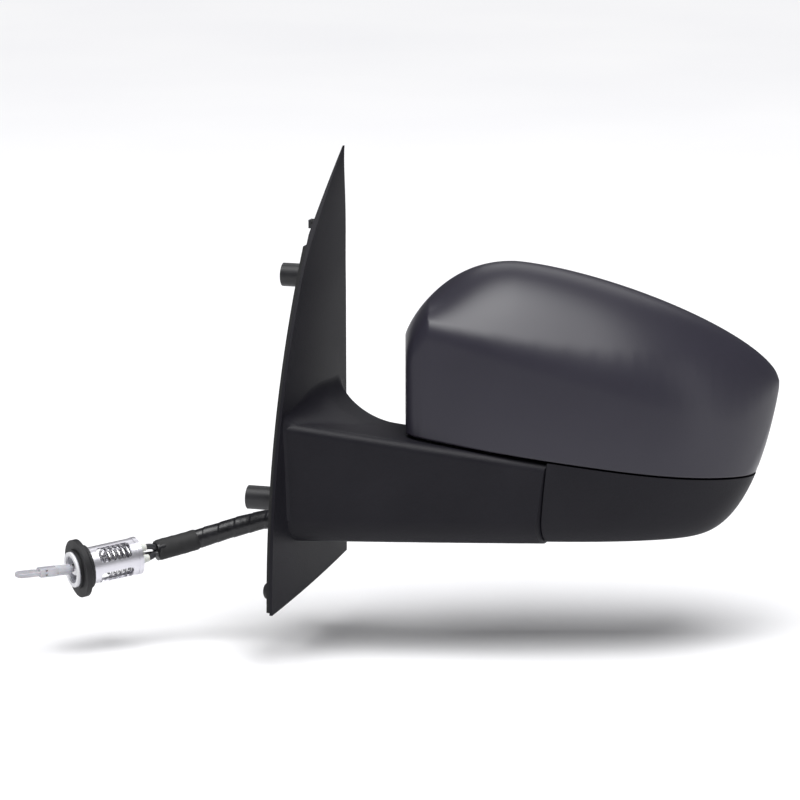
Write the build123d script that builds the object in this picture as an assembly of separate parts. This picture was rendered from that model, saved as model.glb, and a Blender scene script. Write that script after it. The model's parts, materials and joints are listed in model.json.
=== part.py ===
from build123d import *
import math
import os

# Left-hand door mirror with a hand lever, three control cables and a fold-away head.
# Millimetres. Row frame: +X outboard from the door, +Y rearward, +Z up, and X = 0 is the
# door face. The head and the arm are modelled in a head frame, swept about Z by SWEEP.

# ---- driving dimensions -------------------------------------------------------------
SWEEP = 17.0            # the head's sweep rearward, degrees
LEAN = 8.5              # outboard lean of the fold axis, degrees
SKIN = 2.5              # wall of the painted and grained covers
GAP = 1.2               # seam between parts that move past each other

# head, in its own frame: x outboard, y rearward, z up
HEAD_IN = 59.0          # inboard end wall
HEAD_OUT = 265.2        # outboard tip
RIM_Y = 30.0            # rear rim plane
BEZEL_Y = 24.0          # where the covers stop and the bezel rim begins
PEAK_X, PEAK_Z = 118.0, 126.0
INNER_TOP_Z, TIP_TOP_Z, TIP_LOW_Z = 84.0, 56.7, 52.5
CHIN_Z = -22.5          # underside of the arm and of the lower cover
FACE_Y = -44.0          # most forward point of the front face
CREASE_Z, CREASE_FALL = 98.0, 0.208
CORNER_R = 9.0          # rounding of the inboard end wall into the front face

# fold joint
FOLD_X, FOLD_Y, FOLD_Z = 103.0, -16.0, 30.3   # where the axis meets the split plane
FOLD_R = 42.0           # round end of the arm
POST_R, POST_BORE_R = 8.0, 5.2
POST_TOP = 44.0
HUB_R, HUB_LOW, HUB_TOP = 17.0, 5.4, 24.0
BUSH_R = 10.0
RUN = 0.05              # running clearance on a radius

# mirror glass and its ball joint
GLASS_X, GLASS_Z = 157.0, 62.0
BALL_Y, BALL_R = 10.0, 8.0
PLATE_Y = BALL_Y + 6.5  # front face of the carrier plate
PLATE_T, PAD_T, GLASS_T = 2.0, 1.0, 2.2
GLASS_GAP = 3.4         # glass edge to bezel
WIRE_RING_R = 27.0      # cable pulls around the ball

# door side
SEAL_T = 2.0
SAIL_LOW, SAIL_TOP = -60.0, 183.5
SAIL_FRONT_Y, SAIL_REAR_Y = -56.0, 45.0
SEAL_TOP = 134.0
BOSS_R, BOSS_LEN, THREAD_R, THREAD_LEN = 6.5, 20.0, 2.5, 14.0
BOSSES = {"upper": (33.0, 113.6), "lower_front": (-25.0, 0.5), "lower_rear": (28.0, -10.0)}
HOOK_YZ = (37.0, 141.0)
BUFFER_YZ = (-49.0, -45.0)
EXIT_YZ = (2.0, -15.0)  # where the control cable leaves the door face

# hand control, built along its own axis from the back plate
CONTROL_AT = (-83.0, -31.0, -35.5)
CONTROL_DIR = (-0.726, -0.679, -0.101)
CAGE_R, CAGE_LEN = 10.2, 30.0
COLLAR_R = 16.0
LEVER_BALL_S = CAGE_LEN + 4.0
LEVER_BALL_R = 5.0
LEVER_DROOP = 6.0       # the lever hangs this far below the control's axis, degrees

SLEEVE_R = 5.2
CABLE_ROUTE = [         # centre line of the sleeved cable, door face to control
    (0, 2, -15),
    (-15, 2, -17),
    (-30.9, 0.3, -21.6),
    (-47.7, -4.5, -27),
    (-63.6, -12.9, -32),
    (-74.65, -23.2, -34.3),
]

TAN_LEAN = math.tan(math.radians(LEAN))
HEAD_FRAME = Location((0, 0, 0), (0, 0, SWEEP))


# ---- shared shape of the head -------------------------------------------------------
def clamp01(t):
    return min(max(t, 0.0), 1.0)


def falling(t, power, root):
    """1 at t = 0, falling to 0 at t = 1 with an upright end."""
    return (1 - clamp01(t) ** power) ** (1 / root)


def split_z(x):
    """Height of the sloping split plane."""
    return FOLD_Z - (x - FOLD_X) * TAN_LEAN


def top_z(x):
    if x > PEAK_X:
        share = falling((x - PEAK_X) / (HEAD_OUT - PEAK_X), 1.4, 1.5)
        return TIP_TOP_Z + (PEAK_Z - TIP_TOP_Z) * share
    share = falling((PEAK_X - x) / (PEAK_X - HEAD_IN), 2.2, 1.3)
    return INNER_TOP_Z + (PEAK_Z - INNER_TOP_Z) * share


def bottom_z(x):
    rise = 1 - falling((x - 200) / (HEAD_OUT - 200), 3.7, 1.15)
    return CHIN_Z + (TIP_LOW_Z - CHIN_Z) * rise


def face_y(x):
    if x > 150:
        return 26 + (FACE_Y - 26) * falling((x - 150) / (HEAD_OUT + 0.8 - 150), 2.75, 1.2)
    return FACE_Y + 12 * clamp01((150 - x) / 85) ** 2.2


def corner_y(x):
    """How far the end wall's rounding draws the front face back."""
    reach = CORNER_R - clamp01((x - HEAD_IN) / CORNER_R) * CORNER_R
    return CORNER_R - math.sqrt(max(CORNER_R**2 - reach**2, 0.0))


def crease_z(x, top, low):
    line = CREASE_Z - CREASE_FALL * (x - 62.7)
    return min(line, top - 0.06 * (top - low) - 0.6)


def head_section(x, inset=0.0, rear=RIM_Y):
    """Closed outline of the head at one x: roof, front face, chin, underside, rim."""
    span = HEAD_OUT - HEAD_IN
    x_skin = HEAD_IN + (x - HEAD_IN - inset) * span / (span - 2 * inset)
    top, low = top_z(x_skin) - inset, bottom_z(x_skin) + inset
    face = face_y(x_skin) + corner_y(x_skin) + inset
    crease = crease_z(x_skin, top, low)
    chin_r = min(17 - inset, 0.3 * (crease - low), 0.45 * (rear - face))
    roof_end, crown = (rear, top - 0.03 * (top - low)), (face + 0.72 * (rear - face), top)
    edge, brow = (face + 0.04 * (rear - face), crease), (face, low + 0.45 * (crease - low))
    chin, sole = (face + 0.03 * (rear - face), low + chin_r), (face + chin_r * 1.1, low)
    heel = (rear, low + 0.01 * (top - low))

    def at(p):
        return Vector(x, p[0], p[1])

    roof = Spline([at(roof_end), at(crown), at(edge)],
                  tangents=[Vector(0, -1, 0.12), Vector(0, -0.75, -1)])
    front = Spline([at(edge), at(brow), at(chin)])
    jaw = Spline([at(chin), at(sole)], tangents=[Vector(0, 0.12, -1), Vector(0, 1, -0.02)])
    floor = Line(at(sole), at(heel))
    rim = Line(at(heel), at(roof_end))
    return Face(Wire([roof, front, jaw, floor, rim]))


def head_body(inset=0.0, rear=RIM_Y):
    stations = [59, 60.4, 63, 68, 77, 90, 106, 124, 146, 170, 194, 214, 230, 242, 252, 259, 263, 265.2]
    shrink = (HEAD_OUT - HEAD_IN - 2 * inset) / (HEAD_OUT - HEAD_IN)
    if inset > 0:
        stations.pop()
    places = [HEAD_IN + inset + (x - HEAD_IN) * shrink for x in stations]
    return Solid(loft([head_section(x, inset, rear) for x in places]).solid().wrapped)


def fold_plane(height=0.0):
    """Plane across the fold axis, height above the split plane along that axis."""
    lean = math.radians(LEAN)
    up = Vector(math.sin(lean), 0, math.cos(lean))
    return Plane(origin=Vector(FOLD_X, FOLD_Y, FOLD_Z) + up * height,
                 x_dir=(math.cos(lean), 0, -math.sin(lean)), z_dir=up)


def along_fold(radius, low, high):
    """Cylinder on the fold axis."""
    turned = Cylinder(radius, high - low, align=(Align.CENTER, Align.CENTER, Align.MIN))
    return fold_plane(low).location * turned


def slab(plane, low, high, size=700):
    """Thick layer parallel to a plane, between two heights above it."""
    block = Box(size, size, high - low, align=(Align.CENTER, Align.CENTER, Align.MIN))
    return plane.location * Pos(0, 0, low) * block


def placed(location, x, y, z):
    """A point given in a location's own frame, as a point of the parent frame."""
    return (location * Pos(x, y, z)).position


def box_between(low, high):
    size = [b - a for a, b in zip(low, high)]
    return Pos(*low) * Box(*size, align=(Align.MIN, Align.MIN, Align.MIN))




def on_x(x, points):
    """Points given as (y, z), placed in the plane at this x."""
    return [Vector(x, y, z) for y, z in points]


def tube(outer, inner, low, high):
    """Ring on the fold axis."""
    return along_fold(outer, low, high) - along_fold(inner, low - 1, high + 1)


def rod(start, end, radius):
    start, end = Vector(*start), Vector(*end)
    reach = end - start
    place = Plane(origin=start, z_dir=reach)
    return place.location * Cylinder(radius, reach.length,
                                     align=(Align.CENTER, Align.CENTER, Align.MIN))


def pipe(path, radius):
    return sweep(Plane(origin=path @ 0, z_dir=path % 0) * Circle(radius), path=path)


def together(pieces):
    """Several separate solids as one piece."""
    return Compound([solid for piece in pieces for solid in piece.solids()])


def ball(centre, radius):
    return Pos(*centre) * Sphere(radius)


def coil(radius, wire, pitch, turns):
    """Open coil standing on its own origin, along Z."""
    path = Helix(pitch, pitch * turns, radius)
    return sweep(Plane(origin=path @ 0, z_dir=path % 0) * Circle(wire), path=path, is_frenet=True)


# ---- keep-out of the arm, so the head can turn --------------------------------------
def below_split(radius, inboard_x, height):
    """Space the head leaves free: below the split plane, round the arm's end and inboard."""
    low = slab(fold_plane(), -90, height)
    inboard = box_between((-50, -120, -80), (inboard_x, 120, 140))
    return (along_fold(radius, -90, height)) + (low & inboard)


# ---- door side: arm and sail --------------------------------------------------------
def rounded_section(x, front, rear, low, top, radii):
    """Box outline at one x with a radius on each corner: low front, top front, top rear, low rear."""
    a, b, c, d = radii
    k = 1 - math.sqrt(0.5)
    edges = [
        Line(*on_x(x, [(front, top - b), (front, low + a)])),
        ThreePointArc(*on_x(x, [(front, low + a), (front + a * k, low + a * k), (front + a, low)])),
        Line(*on_x(x, [(front + a, low), (rear - d, low)])),
        ThreePointArc(*on_x(x, [(rear - d, low), (rear - d * k, low + d * k), (rear, low + d)])),
        Line(*on_x(x, [(rear, low + d), (rear, top - c)])),
        ThreePointArc(*on_x(x, [(rear, top - c), (rear - c * k, top - c * k), (rear - c, top)])),
        Line(*on_x(x, [(rear - c, top), (front + b, top)])),
        ThreePointArc(*on_x(x, [(front + b, top), (front + b * k, top - b * k), (front, top - b)])),
    ]
    return Face(Wire(edges))


def arm_section(x, inset):
    front = FACE_Y + 7 * clamp01((150 - x) / 150) ** 1.6 + inset
    rear = 10 + 28 * clamp01((60 - x) / 46) ** 2 - inset
    low, top = CHIN_Z + inset, split_z(x) - GAP - inset
    return rounded_section(x, front, rear, low, top, (14 - inset, 5 - inset, 5 - inset, 6 - inset))


def arm_body(inset=0.0):
    stations = [-16, 2, 14, 24, 36, 48, 60, 80, 104, 128, 152]
    whole = Solid(loft([arm_section(x, inset) for x in stations]).solid().wrapped)
    return whole & along_arm_end(FOLD_R - inset)


def along_arm_end(radius):
    """Everything inboard of the arm's round end."""
    inboard = fold_plane().location * Pos(-150, 0, 0) * Box(300, 2 * radius, 240)
    return along_fold(radius, -120, 120) + inboard


def front_edge(z):
    return SAIL_FRONT_Y + 110 * max((z + 57) / 241, 0.0) ** 2.2


def rear_edge(z):
    return SAIL_REAR_Y + 10 * clamp01((z - 40) / 110)


def sail_section(z, inset, back):
    """Outline of the sail at one height: flat to the door, bowed outboard."""
    front, rear = front_edge(z) + inset, rear_edge(z) - inset
    thin = 3.6 + 5.9 * clamp01((z - 125) / 58)
    thick = 14.5 - 4.5 * max(0.0, (z - 40) / 144)
    middle = thin + 0.62 * (thick - thin) - inset
    thin, thick = thin - inset, thick - inset
    r = min(2.5, 0.3 * (rear - front))
    k = r * (1 - math.sqrt(0.5))

    def at(x, y):
        return Vector(x, y, z)

    edges = [
        Line(at(back, front), at(thin, front)),
        Spline([at(thin, front), at(middle, 0.5 * (front + rear)), at(thick, rear - r)]),
        ThreePointArc(at(thick, rear - r), at(thick - k, rear - k), at(thick - r, rear)),
        Line(at(thick - r, rear), at(back, rear)),
        Line(at(back, rear), at(back, front)),
    ]
    return Face(Wire(edges))


def above_foot(lift=0.0):
    """Everything above the sail's sloping lower edge."""
    plane = Plane(origin=(0, -56, -57), z_dir=(0, -0.1443, 1))
    return slab(plane, lift, 320)


def sail_body(inset=0.0, back=SEAL_T, top=SAIL_TOP):
    stations = [-60, -40, -10, 20, 50, 80, 110, 130, 148, 162, 172, 179, 183.5]
    whole = loft([sail_section(z, inset, back) for z in stations if z <= top])
    return Solid(whole.solid().wrapped) & above_foot(inset)


def outboard(x):
    """Everything outboard of one x in the row frame."""
    return box_between((x, -200, -200), (x + 500, 200, 300))


def door_peg(y, z, radius, low, high):
    """Cylinder along X at one point of the door face."""
    return rod((low, y, z), (high, y, z), radius)


COVER_SCREWS = [(38.0, 78.0), (24.0, 100.0), (-10.0, -41.0), (22.0, -33.0)]
SCREW_END = 8.2         # how far the screws reach into the cover's pads


def behind_tip():
    """What is cut from the back of the sail near its top, so that it ends in a point."""
    return slab(Plane(origin=(SEAL_T, 0, SEAL_TOP + 6), z_dir=(-1, 0, 0.164)), 0, 60)


def base_cover():
    """Grained shell of the sail and the arm, hollow behind."""
    arm = HEAD_FRAME * arm_body() & outboard(SEAL_T)
    skin = sail_body() + arm
    hollow = sail_body(2.6, -8, 163) + (HEAD_FRAME * arm_body(2.6) & outboard(-6))
    hollow = hollow & outboard(-5)
    cover = skin - hollow - behind_tip()
    pads = door_peg(*BUFFER_YZ, 6, SEAL_T, 7)
    for y, z in COVER_SCREWS:
        pads += door_peg(y, z, 3.6, 5.8, 16)
    cover = cover + (pads & sail_body())
    for y, z in COVER_SCREWS:
        cover -= door_peg(y, z, 1.6, 0, SCREW_END + 0.3)
    cover -= HEAD_FRAME * along_fold(15.2, -12, 4)
    return cover


def door_seal():
    heights = [-60, -40, -10, 20, 50, 80, 110, SEAL_TOP]
    front = Spline([Vector(0, front_edge(z) + 1, z) for z in heights])
    corners = [front @ 1] + [Vector(0, rear_edge(z) - 1, z) for z in (SEAL_TOP, 40, -60)] + [front @ 0]
    outline = Wire([front] + [Line(a, b) for a, b in zip(corners, corners[1:])])
    sheet = extrude(Face(outline), amount=SEAL_T, dir=(1, 0, 0)) & above_foot(1)
    for y, z in BOSSES.values():
        sheet -= door_peg(y, z, BOSS_R + 0.4, -1, 3)
    for y, z in COVER_SCREWS:
        sheet -= door_peg(y, z, 4, -1, 3)
    sheet -= door_peg(*EXIT_YZ, 9.2, -1, 3)
    sheet -= door_peg(*BUFFER_YZ, 5.4, -1, 3)
    return sheet


def base_frame():
    """Casting inside the cover: door plate with its bosses, arm rails and the post's seat."""
    plate = sail_body(3.0, -8, 163) & box_between((SEAL_T, -60, -43), (5.6, 60, 128))
    inside = HEAD_FRAME * (arm_body(3.0)) & outboard(SEAL_T)
    rails = box_between((-20, -33, -40), (112, -30.2, 60)) + box_between((34, -1.8, -40), (112, 1, 60))
    rails += box_between((-20, -33, -19.4), (96, 1, -17.9))
    rails &= slab(fold_plane(), -90, -6)
    seat = along_fold(14.6, -31, -1.5)
    beam = HEAD_FRAME * (rails + seat) & inside
    beam -= HEAD_FRAME * along_fold(POST_R + 0.02, -27, 4)
    beam -= HEAD_FRAME * along_fold(POST_BORE_R, -60, 4)
    frame = plate + beam
    for y, z in BOSSES.values():
        frame += door_peg(y, z, BOSS_R, -boss_length(y, z), 5.6)
    for y, z in BOSSES.values():
        frame -= door_peg(y, z, THREAD_R + 1.25, -boss_length(y, z) - 1, -boss_length(y, z) + THREAD_LEN)
    for y, z in COVER_SCREWS:
        frame -= door_peg(y, z, 1.7, 0, 8)
    frame -= door_peg(*EXIT_YZ, 8.05, -1, 6) + door_peg(*EXIT_YZ, 10.2, 5.6, 9)
    frame -= box_between((0, HOOK_YZ[0] - 3.4, HOOK_YZ[1] - 3.4), (8, HOOK_YZ[0] + 3.4, HOOK_YZ[1] + 3.4))
    return frame


def boss_length(y, z):
    return BOSS_LEN - 1.3 if z > 50 else BOSS_LEN


def boss_inserts():
    """Threaded sleeves moulded into the three bosses, flush with the boss ends."""
    group = []
    for y, z in BOSSES.values():
        end = -boss_length(y, z)
        sleeve = door_peg(y, z, THREAD_R + 1.25, end, end + THREAD_LEN)
        group.append(sleeve - door_peg(y, z, THREAD_R, end - 1, end + THREAD_LEN + 1))
    return together(group)


def cover_screws():
    group = []
    for y, z in COVER_SCREWS:
        head = door_peg(y, z, 3.2, 0.5, SEAL_T)
        shank = door_peg(y, z, 1.5, SEAL_T, SCREW_END)
        slot = box_between((0.2, y - 0.4, z - 2), (1.2, y + 0.4, z + 2))
        cross = box_between((0.2, y - 2, z - 0.4), (1.2, y + 2, z + 0.4))
        group.append(head + shank - slot - cross)
    return together(group)


def locating_hook():
    y, z = HOOK_YZ
    tongue = box_between((-4.6, y - 2.6, z - 1.2), (5, y + 2.6, z + 1.2))
    lip = box_between((-4.6, y - 2.6, z - 1.2), (-2.8, y + 2.6, z + 3.4))
    foot = box_between((SEAL_T, y - 3, z - 3), (4.4, y + 3, z + 3))
    return tongue + lip + foot


def corner_buffer():
    y, z = BUFFER_YZ
    dome = rod((SEAL_T, y, z), (-3.2, y, z), 5.0)
    return fillet(dome.edges().sort_by(Axis.X)[0], 3.4)


def cable_grommet():
    y, z = EXIT_YZ
    body = door_peg(y, z, 8, -1.2, 5.6) + door_peg(y, z, 9, -1.2, 1.6)
    body += door_peg(y, z, 9.6, 5.6, 7.6)
    return body - door_peg(y, z, SLEEVE_R + 0.1, -2, 8)


def pivot_post():
    post = along_fold(POST_R, -27, POST_TOP) - along_fold(POST_BORE_R, -40, POST_TOP + 5)
    return post - tube(POST_R + 2, POST_R - 0.9, RING_S, RING_S + 1.4)


def detent_plate():
    """Steel ring on the arm: a shallow track for the balls, deeper at each stop."""
    plate = tube(14.4, POST_R + 0.1, -1.5, 1.1)
    plate -= tube(12.8, 10.4, 0.85, 2)
    for turn in range(12):
        spot = fold_plane(1.4).location * Rot(0, 0, 30 * turn) * Pos(11.6, 0, 0)
        plate -= spot * Cylinder(1.0, 1.8)
    return plate


# ---- fold joint, on the head --------------------------------------------------------
WASHER_S = HUB_TOP + 15.0
RING_S = WASHER_S + 2.0


def detent_ring():
    ring = tube(15.4, POST_R + 0.4, 2.6, HUB_LOW)
    for turn in range(3):
        spot = fold_plane(3.7).location * Rot(0, 0, 120 * turn) * Pos(11.6, 0, 0)
        ring -= spot * Cylinder(2.3, 6)
    return ring


def detent_balls():
    group = []
    for turn in range(3):
        spot = fold_plane(3.15).location * Rot(0, 0, 120 * turn) * Pos(11.6, 0, 0)
        group.append(spot * Sphere(2.2))
    return together(group)


def hub_bush():
    sleeve = tube(BUSH_R, POST_R + RUN, HUB_LOW, HUB_TOP)
    return sleeve + tube(BUSH_R + 3, POST_R + RUN, HUB_TOP, HUB_TOP + 1.2)


def support_bracket():
    """Casting that carries the ball joint on the fold hub."""
    hub = along_fold(HUB_R, HUB_LOW, HUB_TOP) + tube(21, 15.8, 2.8, HUB_LOW)
    hub += along_fold(21, HUB_LOW, HUB_LOW + 2.5)
    plate = box_between((124, WALL_Y - 3.5, 36), (191, WALL_Y, 93))
    plate = fillet(plate.edges().filter_by(Axis.Y), 7)
    web = box_between((103, WALL_Y - 3.5, 37), (130, WALL_Y, 53))
    ribs = box_between((108, WALL_Y - 9, 60), (186, WALL_Y - 3, 62.6)) & outboard(124)
    ribs += box_between((106, WALL_Y - 13, 41), (170, WALL_Y - 3, 44))
    bracket = hub + plate + web + ribs
    bracket -= along_fold(BUSH_R + 0.02, 0, HUB_TOP + 2)
    bracket -= along_fold(15.8, 0, HUB_LOW)
    bracket -= along_fold(18, HUB_TOP, 70)
    for x, z in wire_points():
        bracket -= rod((x, WALL_Y - 20, z), (x, WALL_Y + 2, z), 2.4)
    for x, z in screw_points():
        bracket -= rod((x, WALL_Y - 6, z), (x, WALL_Y + 2, z), 2.1)
    bracket -= rod((GLASS_X, WALL_Y - 6, GLASS_Z), (GLASS_X, WALL_Y + 1, GLASS_Z), 4.02)
    bracket -= rod((GLASS_X, WALL_Y - 14, GLASS_Z), (GLASS_X, WALL_Y - 3.5, GLASS_Z), 7.5)
    return bracket


WALL_Y = -8.5           # rear face of the bracket, front face of the housing's wall


def around_ball(start, radius=WIRE_RING_R):
    angles = [math.radians(start + 120 * i) for i in range(3)]
    return [(GLASS_X + radius * math.cos(a), GLASS_Z + radius * math.sin(a)) for a in angles]


def wire_points():
    return around_ball(90)


def screw_points():
    return around_ball(30)


def fold_spring():
    wire = coil(12.0, 1.5, 3.5, 3.0)
    return fold_plane(HUB_TOP + 1.2 + 1.5).location * wire


def spring_washer():
    return tube(14.5, POST_R + 0.02, WASHER_S, RING_S)


def retaining_ring():
    ring = tube(11.5, POST_R - 0.88, RING_S + 0.02, RING_S + 1.38)
    gap = fold_plane(RING_S).location * Pos(11, 0, 0.7) * Box(8, 4, 4)
    return ring - gap


def post_grommet():
    lip = tube(8.4, 4.3, POST_TOP, POST_TOP + 4)
    return lip + tube(POST_BORE_R - 0.02, 4.3, POST_TOP - 5, POST_TOP)


# ---- head: shell --------------------------------------------------------------------
def in_front(y):
    return box_between((0, -120, -80), (320, y, 180))


def cap_shell():
    skin = (head_body() - head_body(SKIN, RIM_Y + 8)) & in_front(BEZEL_Y)
    return skin & slab(fold_plane(), 0.6, 300)


def lower_cover():
    whole = head_body() & in_front(BEZEL_Y) & slab(fold_plane(), -200, -0.6)
    whole -= below_split(FOLD_R + 0.8, 117.5, 50)
    hollow = head_body(SKIN, RIM_Y + 8) - below_split(FOLD_R + 0.8 + SKIN, 120, 50)
    return whole - hollow


def glass_outline(grow=0.0):
    """Outline of the glass in the plane of the rim, or of the opening round it."""
    inset = 8.3 - grow
    inner, outer = HEAD_IN + inset, 245.0 + grow
    shrink = (HEAD_OUT - HEAD_IN) / (HEAD_OUT - HEAD_IN - 2 * inset)
    steps = [0, 0.025, 0.07, 0.14, 0.22, 0.3, 0.41, 0.55, 0.69, 0.83, 0.93, 1]
    points = []
    for step in steps:
        x = inner + (outer - inner) * step
        x_skin = HEAD_IN + (x - inner) * shrink
        drop = 0.03 * (top_z(x_skin) - bottom_z(x_skin)) + inset
        points.append(Vector(x, 0, top_z(x_skin) - drop))
    roof = Spline(points)
    low_in, low_out = Vector(inner, 0, 46 - grow), Vector(outer, 0, 4 - grow)
    sides = [Line(roof @ 1, low_out), Line(low_out, low_in), Line(low_in, roof @ 0)]
    face = Face(Wire([roof] + sides))
    face = fillet(face.vertices().sort_by(Axis.X)[:2], max(9 + grow, 2))
    face = fillet(face.vertices().sort_by(Axis.X)[-2:], max(17 + grow, 4))
    return face.faces()[0]


def glass_prism(grow, low, high):
    return Pos(0, low, 0) * extrude(glass_outline(grow), amount=high - low, dir=(0, 1, 0))


def housing_frame():
    """Rim round the glass, skirt inside the covers and a wall for the bracket."""
    rim = head_body() & box_between((0, BEZEL_Y, -80), (320, RIM_Y + 1, 180))
    skirt_out = head_body(2.9, RIM_Y + 8) & box_between((0, WALL_Y, -80), (320, BEZEL_Y, 180))
    core = head_body(4.9, RIM_Y + 8) & box_between((0, WALL_Y + 2, -80), (320, BEZEL_Y, 180))
    frame = rim + (skirt_out - core)
    frame -= glass_prism(GLASS_GAP, BEZEL_Y - 3, RIM_Y + 3)
    rim_hollow = head_body(4.9, RIM_Y + 8) & box_between((0, WALL_Y + 2, -80), (320, RIM_Y - 3, 180))
    frame -= rim_hollow
    for x, z in screw_points():
        frame += rod((x, WALL_Y + 1, z), (x, WALL_Y + 9, z), 4.2)
        frame -= rod((x, WALL_Y - 1, z), (x, WALL_Y + 8, z), 1.9)
    for x, z in wire_points():
        frame -= rod((x, WALL_Y - 1, z), (x, WALL_Y + 4, z), 3.3)
    frame -= rod((GLASS_X, WALL_Y - 1, GLASS_Z), (GLASS_X, WALL_Y + 4, GLASS_Z), 15)
    frame -= along_fold(23, 0, 66)
    frame -= below_split(FOLD_R + 3.8, 118, 3.4) & in_front(BEZEL_Y + 0.01)
    frame -= below_split(FOLD_R + 0.8, 117.5, 0.8)
    return frame


def swivel_plate():
    """Floor of the head over the arm."""
    reach = along_fold(FOLD_R + 2.6, 0.8, 2.8) + box_between((0, -120, 0), (117, 120, 80))
    floor = slab(fold_plane(), 0.8, 2.8) & head_body(2.9, RIM_Y + 8) & reach & in_front(BEZEL_Y - 0.2)
    return floor - along_fold(15.8, 0, 4)


def bracket_screws():
    group = []
    for x, z in screw_points():
        head = rod((x, WALL_Y - 5.7, z), (x, WALL_Y - 3.5, z), 3.6)
        shank = rod((x, WALL_Y - 3.5, z), (x, WALL_Y + 7, z), 1.8)
        drive = rod((x, WALL_Y - 6, z), (x, WALL_Y - 4.4, z), 1.5)
        group.append(head + shank - drive)
    return together(group)


# ---- mirror glass and its ball joint ------------------------------------------------
BALL_AT = (GLASS_X, BALL_Y, GLASS_Z)


def ball_post():
    stem = rod((GLASS_X, WALL_Y - 5.5, GLASS_Z), (GLASS_X, BALL_Y, GLASS_Z), 4.0)
    stem += rod((GLASS_X, WALL_Y - 5.5, GLASS_Z), (GLASS_X, WALL_Y - 3.5, GLASS_Z), 6.5)
    stem += rod((GLASS_X, WALL_Y, GLASS_Z), (GLASS_X, WALL_Y + 1.2, GLASS_Z), 6.0)
    head = ball(BALL_AT, BALL_R) & box_between((140, -10, 40), (180, BALL_Y + 5.3, 80))
    return stem + head


def glass_carrier():
    plate = glass_prism(-1.6, PLATE_Y, PLATE_Y + PLATE_T)
    dome = ball(BALL_AT, BALL_R + 2.4) & in_front(PLATE_Y + 1)
    ribs = glass_prism(-7, PLATE_Y - 2.5, PLATE_Y) - glass_prism(-9, PLATE_Y - 3, PLATE_Y)
    low = (GLASS_X - 60, PLATE_Y - 2.5, GLASS_Z - 1)
    ribs += box_between(low, (GLASS_X + 60, PLATE_Y, GLASS_Z + 1))
    carrier = plate + dome + ribs
    carrier -= ball(BALL_AT, BALL_R + 0.08)
    carrier -= Pos(GLASS_X, BALL_Y - 9, GLASS_Z) * Rot(-90, 0, 0) * Cone(8.2, 5.6, 9)
    for x, z in wire_points():
        carrier += rod((x, PLATE_Y - 3.5, z), (x, PLATE_Y + 1, z), 4.2)
        carrier -= rod((x, PLATE_Y - 4, z), (x, PLATE_Y + 0.6, z), 2.3)
    return carrier


def adhesive_pad():
    low = PLATE_Y + PLATE_T
    return glass_prism(-5, low, low + PAD_T)


def mirror_glass():
    low = PLATE_Y + PLATE_T + PAD_T
    return glass_prism(0, low, low + GLASS_T)


def cable_nipples():
    group = [rod((x, PLATE_Y - 3.2, z), (x, PLATE_Y + 0.5, z), 2.2) for x, z in wire_points()]
    return together(group)


def pivot_cup():
    shell = ball(BALL_AT, BALL_R + 4.2) - ball(BALL_AT, BALL_R + 2.5)
    band = box_between((130, BALL_Y - 11.8, 30), (190, BALL_Y - 5.5, 90))
    return (shell & band) - rod((GLASS_X, -20, GLASS_Z), (GLASS_X, BALL_Y, GLASS_Z), 6.6)


def glass_spring():
    wire = coil(8.6, 0.7, 2.2, 3.2)
    turned = Location((GLASS_X, WALL_Y + 0.8, GLASS_Z), (-90, 0, 0))
    return turned * wire


def wire_guides():
    group = []
    for x, z in wire_points():
        body = rod((x, WALL_Y, z), (x, WALL_Y + 6, z), 2.9) + rod((x, WALL_Y - 3.4, z), (x, WALL_Y, z), 2.3)
        body -= rod((x, WALL_Y - 5, z), (x, WALL_Y + 2, z), 1.7)
        group.append(body - rod((x, WALL_Y - 5, z), (x, WALL_Y + 8, z), 0.75))
    return together(group)


def glass_wires():
    group = [rod((x, WALL_Y + 2.1, z), (x, PLATE_Y - 3.3, z), 0.6) for x, z in wire_points()]
    return together(group)


# ---- control cables -----------------------------------------------------------------
CONDUIT_R = 1.6
BUNDLE_R = 2.3
FAN = 1.6               # how far the conduits spread before the control


def bundle_offsets():
    angles = [math.radians(90 + 120 * i) for i in range(3)]
    return [(BUNDLE_R * math.cos(a), BUNDLE_R * math.sin(a)) for a in angles]


def post_point(s, a, b):
    """Point inside the post, a towards the rear and b towards the door."""
    return fold_plane(s).location.position + Vector(-b * math.cos(math.radians(LEAN)), a, 0)


def arm_conduits():
    """Three conduits from the cable exit, through the arm and up the post."""
    group = []
    for a, b in bundle_offsets():
        start = placed(HEAD_FRAME.inverse(), 0.3, EXIT_YZ[0] + a, EXIT_YZ[1] + b)
        low = [start, Vector(22, -4.6 + a, -14.8 + b), Vector(50, -13.4 + a, -14 + b)]
        foot = post_point(-44, 0, 0)
        low.append(Vector(foot.X - 13, -16 + a, -13.2 + b))
        bend = Spline(low, tangents=[Vector(0.956, -0.292, 0), Vector(1, 0, 0.02)])
        up = post_point(-31, a, b)
        top = post_point(POST_TOP + 1.5, a, b)
        axis = top - up
        turn = Spline([bend @ 1, up], tangents=[Vector(1, 0, 0.02), axis])
        group.append(pipe(Wire([bend, turn, Line(up, top)]), CONDUIT_R))
    return HEAD_FRAME * together(group)


def head_conduits():
    """The same three conduits, from the top of the post to the wire guides."""
    leads = [
        (22, (146, -29, 98), (157, -32, 89)),
        (20, (134, -30, 88), (133.6, -36, 48.5)),
        (26, (166, -40, 90), (180.4, -38, 48.5)),
    ]
    group = []
    for (a, b), (x, z), (rise, over, behind) in zip(bundle_offsets(), wire_points(), leads):
        start = post_point(POST_TOP + 2.2, a, b)
        axis = (start - post_point(0, a, b)).normalized()
        end = Vector(x, WALL_Y - 3.2, z)
        path = Bezier(start, start + axis * rise, Vector(*over), Vector(*behind), end)
        group.append(pipe(path, CONDUIT_R))
    return together(group)


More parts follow.
